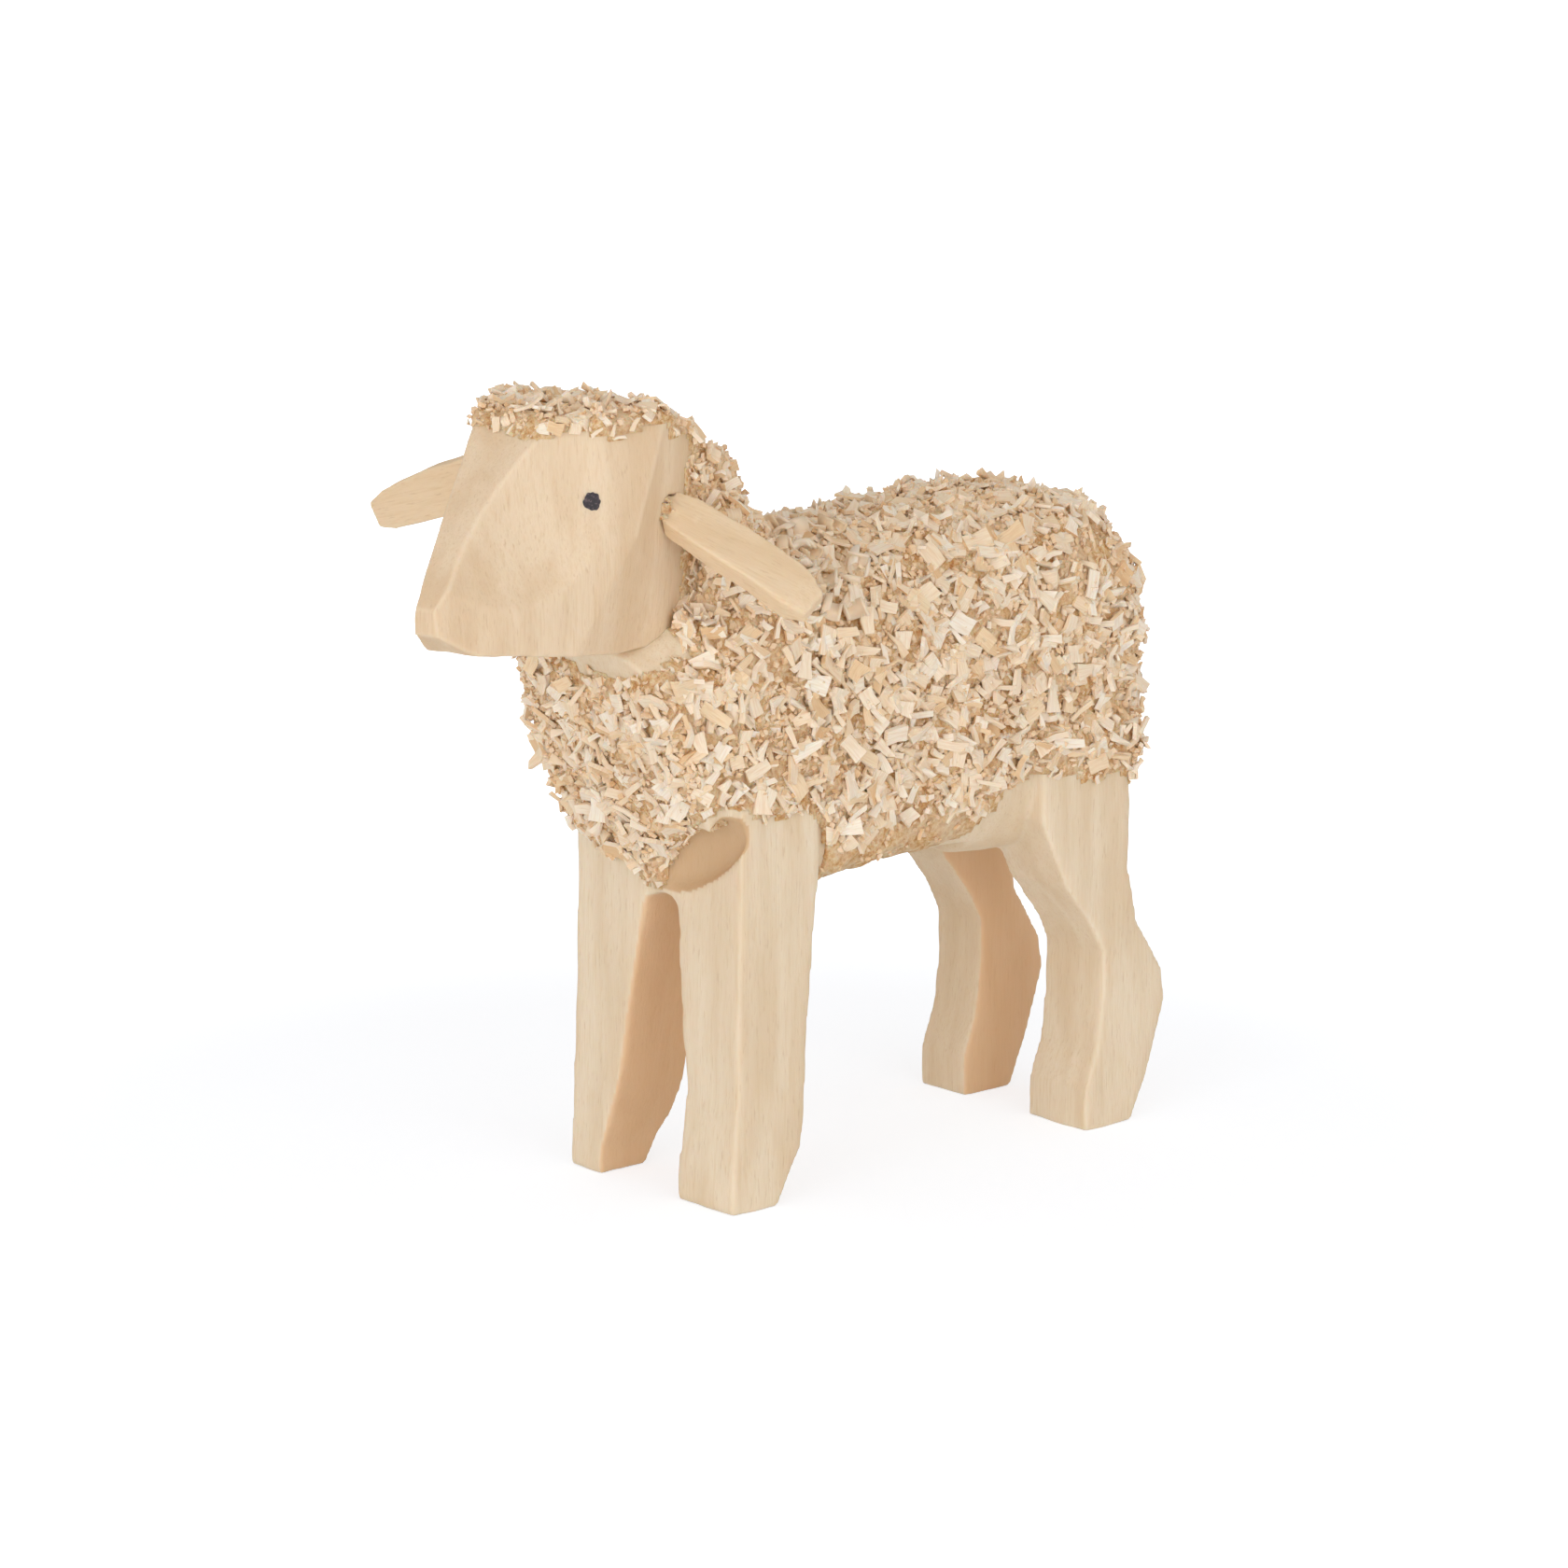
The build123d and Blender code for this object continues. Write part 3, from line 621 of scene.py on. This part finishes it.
def chipShape(dice, kind):
    # one unit chip: a ragged strip with bevelled edges, bent along its length and twisted a little
    ragged, bend = kind["ragged"], kind["bend"]
    bm = bmesh.new()
    bmesh.ops.create_grid(bm, x_segments=2, y_segments=1, size=0.5)
    narrow = dice.uniform(-kind["taper"], kind["taper"])
    for vert in bm.verts:
        vert.co.y *= 1 + narrow * vert.co.x
        vert.co += Vector((dice.uniform(-ragged, ragged), dice.uniform(-ragged, ragged), 0))
    bmesh.ops.inset_region(bm, faces=bm.faces[:], thickness=bevel["inset"], depth=bevel["rise"])
    curl, twist = dice.uniform(-bend, bend), dice.uniform(-bend, bend)
    for vert in bm.verts:
        vert.co.z += curl * 4 * vert.co.x ** 2 + twist * 2 * vert.co.x * vert.co.y
    return chipOf(bm, dice)


def crumbShape(dice, kind):
    # one unit crumb: a ragged little slab
    bm = bmesh.new()
    bmesh.ops.create_circle(bm, cap_ends=True, segments=4, radius=kind["radius"])
    for vert in bm.verts:
        vert.co *= dice.uniform(1 - kind["ragged"], 1)
        vert.co.z += dice.uniform(-kind["warp"], kind["warp"])
    return chipOf(bm, dice, shaving["crumbGrain"])


dice = Random(23)
flakeShapes = [chipShape(dice, flakes) for _ in range(flakes["shapes"])]
sliverShapes = [chipShape(dice, slivers) for _ in range(slivers["shapes"])]
crumbShapes = [crumbShape(dice, crumbs) for _ in range(crumbs["shapes"])]

# Which node a chip belongs to: by its place, or by how its ground faces
regions = {
    "crown": "crown_chips", "nape": "nape_chips", "chest": "chest_chips", "back": "back_chips",
    "loin": "loin_chips", "rump": "rump_chips", "leftFlank": "left_flank_chips", "rightFlank": "right_flank_chips",
}
borders = {
    "napeHeight": 40.2, "napeFrom": 1.0, "chestFacing": 0.6, "rumpFacing": 0.7, "topFacing": 0.45, "loinTo": -8.0,
}


def regionOf(point, normal, onCrown):
    place = (point - stance) / mm
    if onCrown:
        return "crown"
    if place.z > borders["napeHeight"] and place.x > borders["napeFrom"]:
        return "nape"
    if normal.x > borders["chestFacing"]:
        return "chest"
    if normal.x < -borders["rumpFacing"]:
        return "rump"
    if normal.z > borders["topFacing"]:
        return "loin" if place.x < borders["loinTo"] else "back"
    return "leftFlank" if normal.y > 0 else "rightFlank"


def strew(heaps, faces, onCrown, kind, shapes, dice):
    # lays one kind of chip on a bed, each turned, tilted and lifted by chance
    count = round(sum(area for _, _, area in faces) / mm ** 2 * kind["perArea"])
    picked = dice.choices(faces, weights=[area for _, _, area in faces], k=count)
    fleece = headFleece if onCrown else bodyFleece
    for centre, normal, area in picked:
        place = (centre - stance) / mm
        dusty = dust["from"] < place.x < dust["to"] and place.z < dust["top"] + wander(centre, bed["hemWaves"])
        if dusty and (kind is not crumbs or dice.random() > dust["crumbs"] or place.z < dust["least"]):
            continue
        level = normal.to_track_quat("Z", "Y").to_matrix().to_4x4()
        spin = Matrix.Rotation(dice.uniform(0, math.tau), 4, "Z")
        tip = Matrix.Rotation(math.radians(dice.gauss(0, kind["tilt"] / 2)), 4, "X")
        pitch = Matrix.Rotation(math.radians(dice.gauss(0, kind["tilt"] / 2)), 4, "Y")
        full = hemChips["least"] + hemChips["growth"] * smoothRise(fleece(centre, normal) / bed["taper"])
        size = [dice.uniform(*kind[side]) * full * mm for side in ("length", "width", "thickness")]
        jitter = Vector([dice.uniform(-1, 1) for _ in range(3)]) * math.sqrt(area) / 2
        spot = centre + jitter + normal * dice.uniform(*kind["lift"]) * full * mm
        chip = dice.choice(shapes).copy()
        chip.transform(Matrix.Translation(spot) @ level @ spin @ tip @ pitch @ Matrix.Diagonal((*size, 1)))
        heaps[regionOf(centre, normal, onCrown)].from_mesh(chip)
        bpy.data.meshes.remove(chip)


heaps = {region: bmesh.new() for region in regions}
for faces, onCrown in ((bodyPlaces, False), (headPlaces, True)):
    for kind, shapes in ((flakes, flakeShapes), (slivers, sliverShapes), (crumbs, crumbShapes)):
        strew(heaps, faces, onCrown, kind, shapes, dice)
for region, heap in heaps.items():
    chips = finished(
        region + "Flakes", meshOf(heap, region), shavings, regions[region], crease=chipCrease)
    print("strewn:", region, len(chips.data.polygons))


# Odd bits: curled shavings, bark, glue and eyes

curls = {
    "radius": 0.85, "radiusShare": (0.6, 1.15), "wall": 0.17, "width": 1.2, "widthShare": (0.7, 1.2),
    "turn": 250.0, "steps": 14, "drift": 0.02,
    "count": 22, "around": (5.3, 5.2, 38.8), "reach": 4.5, "lift": 0.70,
}


def curledShaving(bm, centre, normal, dice):
    # a strip rolled up by the knife: one short wall spun round
    axis = normal.cross(Vector([dice.uniform(-1, 1) for _ in range(3)])).normalized()
    across = axis.cross(normal).normalized()
    radius = curls["radius"] * dice.uniform(*curls["radiusShare"]) * mm
    wall, width = curls["wall"] * mm, curls["width"] * dice.uniform(*curls["widthShare"]) * mm
    start = centre + across * radius
    corners = [start - axis * width / 2, start + axis * width / 2]
    corners += [corner + across * wall for corner in reversed(corners)]
    strip = bm.faces.new([bm.verts.new(corner) for corner in corners])
    bmesh.ops.spin(
        bm, geom=[strip, *strip.edges, *strip.verts], cent=centre + across * wall, axis=axis,
        angle=math.radians(curls["turn"]), steps=curls["steps"], dvec=axis * curls["drift"] * mm)


heap = bmesh.new()
curlPlaces = [place for place in bodyPlaces if (place[0] - at(*curls["around"])).length < curls["reach"] * mm]
for _ in range(curls["count"]):
    centre, normal, _ = dice.choice(curlPlaces)
    curledShaving(heap, centre + normal * curls["lift"] * mm, normal, dice)
bmesh.ops.recalc_face_normals(heap, faces=heap.faces)
heap.loops.layers.uv.new("grain")
finished("curledShavings", meshOf(heap, "curledShavings"), shavings, "curled_shavings")

speck = {"place": (11.95, 5.1, 41.75), "radius": 0.33, "waves": ((0.5, 0.25), (0.2, 0.10))}
bead = {"radius": 0.78, "waves": ((1.2, 0.22),)}


def lump(name, middle, form, subdivisions):
    bm = bmesh.new()
    bmesh.ops.create_icosphere(
        bm, subdivisions=subdivisions, radius=form["radius"] * mm, matrix=Matrix.Translation(middle))
    uneven(bm, form["waves"])
    return meshOf(bm, name)


beadLow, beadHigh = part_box("ear_glue_bead")
finished("barkCrumb", lump("barkCrumb", at(*speck["place"]), speck, 3), bark, "bark_speck", smooth=False)
finished("glueBead", lump("glueBead", (beadLow + beadHigh) / 2, bead, 4), glue, "ear_glue_bead")

eye = {
    "radius": 0.53, "rim": 0.20, "rimWave": 0.25, "slope": 0.25, "thickness": 0.03, "lift": 0.005, "corners": 64,
}


def eyeDot(name, nodeName, dice):
    # a dot of paint with a wandering rim, laid on the carved cheek
    low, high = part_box(nodeName)
    touch, normal, _, _ = headTree.find_nearest((low + high) / 2)
    level = Matrix.Translation(touch) @ normal.to_track_quat("Z", "Y").to_matrix().to_4x4()
    bm = bmesh.new()
    bmesh.ops.create_circle(bm, cap_ends=True, segments=eye["corners"], radius=eye["radius"] * mm)
    seed = Vector((dice.uniform(0, 50), 0, 0))
    for vert in bm.verts:
        vert.co *= 1 + eye["rim"] * noise.noise(vert.co / (eye["rimWave"] * mm) + seed)
    bmesh.ops.inset_region(
        bm, faces=bm.faces[:], thickness=eye["radius"] * eye["slope"] * mm, depth=eye["thickness"] * mm)
    bmesh.ops.transform(bm, matrix=level @ Matrix.Translation((0, 0, eye["lift"] * mm)), verts=bm.verts)
    return finished(name, meshOf(bm, name), paint, nodeName)


eyeDot("leftEye", "eye_left", dice)
eyeDot("rightEye", "eye_right", dice)
print("odd bits made")


# Studio: warm light thrown back by the room, cool light from the lamps, together white

def straightRays(tree):
    # 1 where the camera sees a surface directly, in a gloss or through glass
    rays = addNode(tree, "ShaderNodeLightPath")
    seen = addNode(tree, "ShaderNodeMath", {"operation": "MAXIMUM"}, {
        0: rays["Is Camera Ray"], 1: rays["Is Glossy Ray"]})[0]
    return addNode(tree, "ShaderNodeMath", {"operation": "MAXIMUM"}, {0: seen, 1: rays["Is Transmission Ray"]})[0]


sweep = {  # smooth white paper: dull, and lit from below away from the lamb
    "paper": "#FAFAFA", "roughness": 0.9, "halfSide": 2.0, "glow": "#F2F6FB", "strength": 1.57,
    "near": 40, "far": 110, "nearShare": 0.45,
}
bm = bmesh.new()
bmesh.ops.create_grid(bm, x_segments=1, y_segments=1, size=sweep["halfSide"])
floor = bpy.data.objects.new("floor", meshOf(bm, "floor"))
bpy.context.scene.collection.objects.link(floor)
paper, tree = newMaterial("WhitePaperSweep")
shader = tree.nodes["Principled BSDF"]
fill(tree, shader, {"Base Color": sweep["paper"], "Roughness": sweep["roughness"]})
place = addNode(tree, "ShaderNodeTexCoord")["Object"]
away = addNode(tree, "ShaderNodeVectorMath", {"operation": "LENGTH"}, {0: place})["Value"]
glow = addNode(tree, "ShaderNodeMapRange", {"interpolation_type": "SMOOTHSTEP"}, {
    "Value": away, "From Min": sweep["near"] * mm, "From Max": sweep["far"] * mm,
    "To Min": sweep["nearShare"], "To Max": 1.0})["Result"]
share = addNode(tree, "ShaderNodeMath", {"operation": "MULTIPLY"}, {0: straightRays(tree), 1: glow})[0]
white = addNode(tree, "ShaderNodeEmission", inputs={"Color": sweep["glow"], "Strength": sweep["strength"]})
both = addNode(tree, "ShaderNodeMixShader", inputs={"Fac": share, 1: shader.outputs["BSDF"], 2: white["Emission"]})
fill(tree, tree.nodes["Material Output"], {"Surface": both["Shader"]})
floor.data.materials.append(paper)

room = {"stops": [(0.05, "#FFE0C0"), (0.60, "#FCF8F4")], "strength": 0.60}
world = bpy.data.worlds.new("studio")
bpy.context.scene.world = world
world.use_nodes = True
tree = world.node_tree
ray = addNode(tree, "ShaderNodeTexCoord")["Generated"]
height = addNode(tree, "ShaderNodeSeparateXYZ", inputs={"Vector": ray})["Z"]
around = addNode(tree, "ShaderNodeValToRGB", inputs={"Fac": height}, stops=room["stops"])["Color"]
soft = addNode(tree, "ShaderNodeBackground", inputs={"Color": around, "Strength": room["strength"]})
white = addNode(tree, "ShaderNodeBackground", inputs={"Color": (1, 1, 1, 1), "Strength": 1.0})
both = addNode(tree, "ShaderNodeMixShader", inputs={
    "Fac": straightRays(tree), 1: soft["Background"], 2: white["Background"]})
fill(tree, tree.nodes["World Output"], {"Surface": both["Shader"]})

lampTone = "#EAF4FF"
lamps = {
    "keySoftbox": {"place": (395, 160, 60), "size": 280, "watts": 0.84},
    "fillSoftbox": {"place": (60, 390, 130), "size": 300, "watts": 0.42},
}
aim = at(0, 0, 25)
for name, lamp in lamps.items():
    light = bpy.data.lights.new(name, "AREA")
    light.shape, light.size, light.energy = "SQUARE", lamp["size"] * mm, lamp["watts"]
    light.color = toLinear(lampTone)[:3]
    holder = bpy.data.objects.new(name, light)
    holder.location = at(*lamp["place"])
    holder.rotation_euler = (aim - holder.location).to_track_quat("-Z", "Y").to_euler()
    bpy.context.scene.collection.objects.link(holder)

camera = {
    "azimuth": 49.0, "elevation": 12.5, "distance": 400.0, "target": (3.18, -0.3, 23.78),
    "focus": 6973, "pictureWidth": 1680,  # both in pixels of the photograph
    "sensor": 36.0, "clip": (0.01, 10.0),
}
viewAngle, viewRise = math.radians(camera["azimuth"]), math.radians(camera["elevation"])
back = Vector((
    math.cos(viewAngle) * math.cos(viewRise), math.sin(viewAngle) * math.cos(viewRise), math.sin(viewRise)))
lens = bpy.data.cameras.new("camera")
lens.sensor_width = camera["sensor"]
lens.lens = camera["focus"] / camera["pictureWidth"] * lens.sensor_width
lens.clip_start, lens.clip_end = camera["clip"]
viewer = bpy.data.objects.new("camera", lens)
viewer.location = at(*camera["target"]) + back * camera["distance"] * mm
viewer.rotation_euler = (-back).to_track_quat("-Z", "Y").to_euler()
bpy.context.scene.collection.objects.link(viewer)
bpy.context.scene.camera = viewer
bpy.context.scene.view_settings.view_transform = "Standard"
print("studio set")
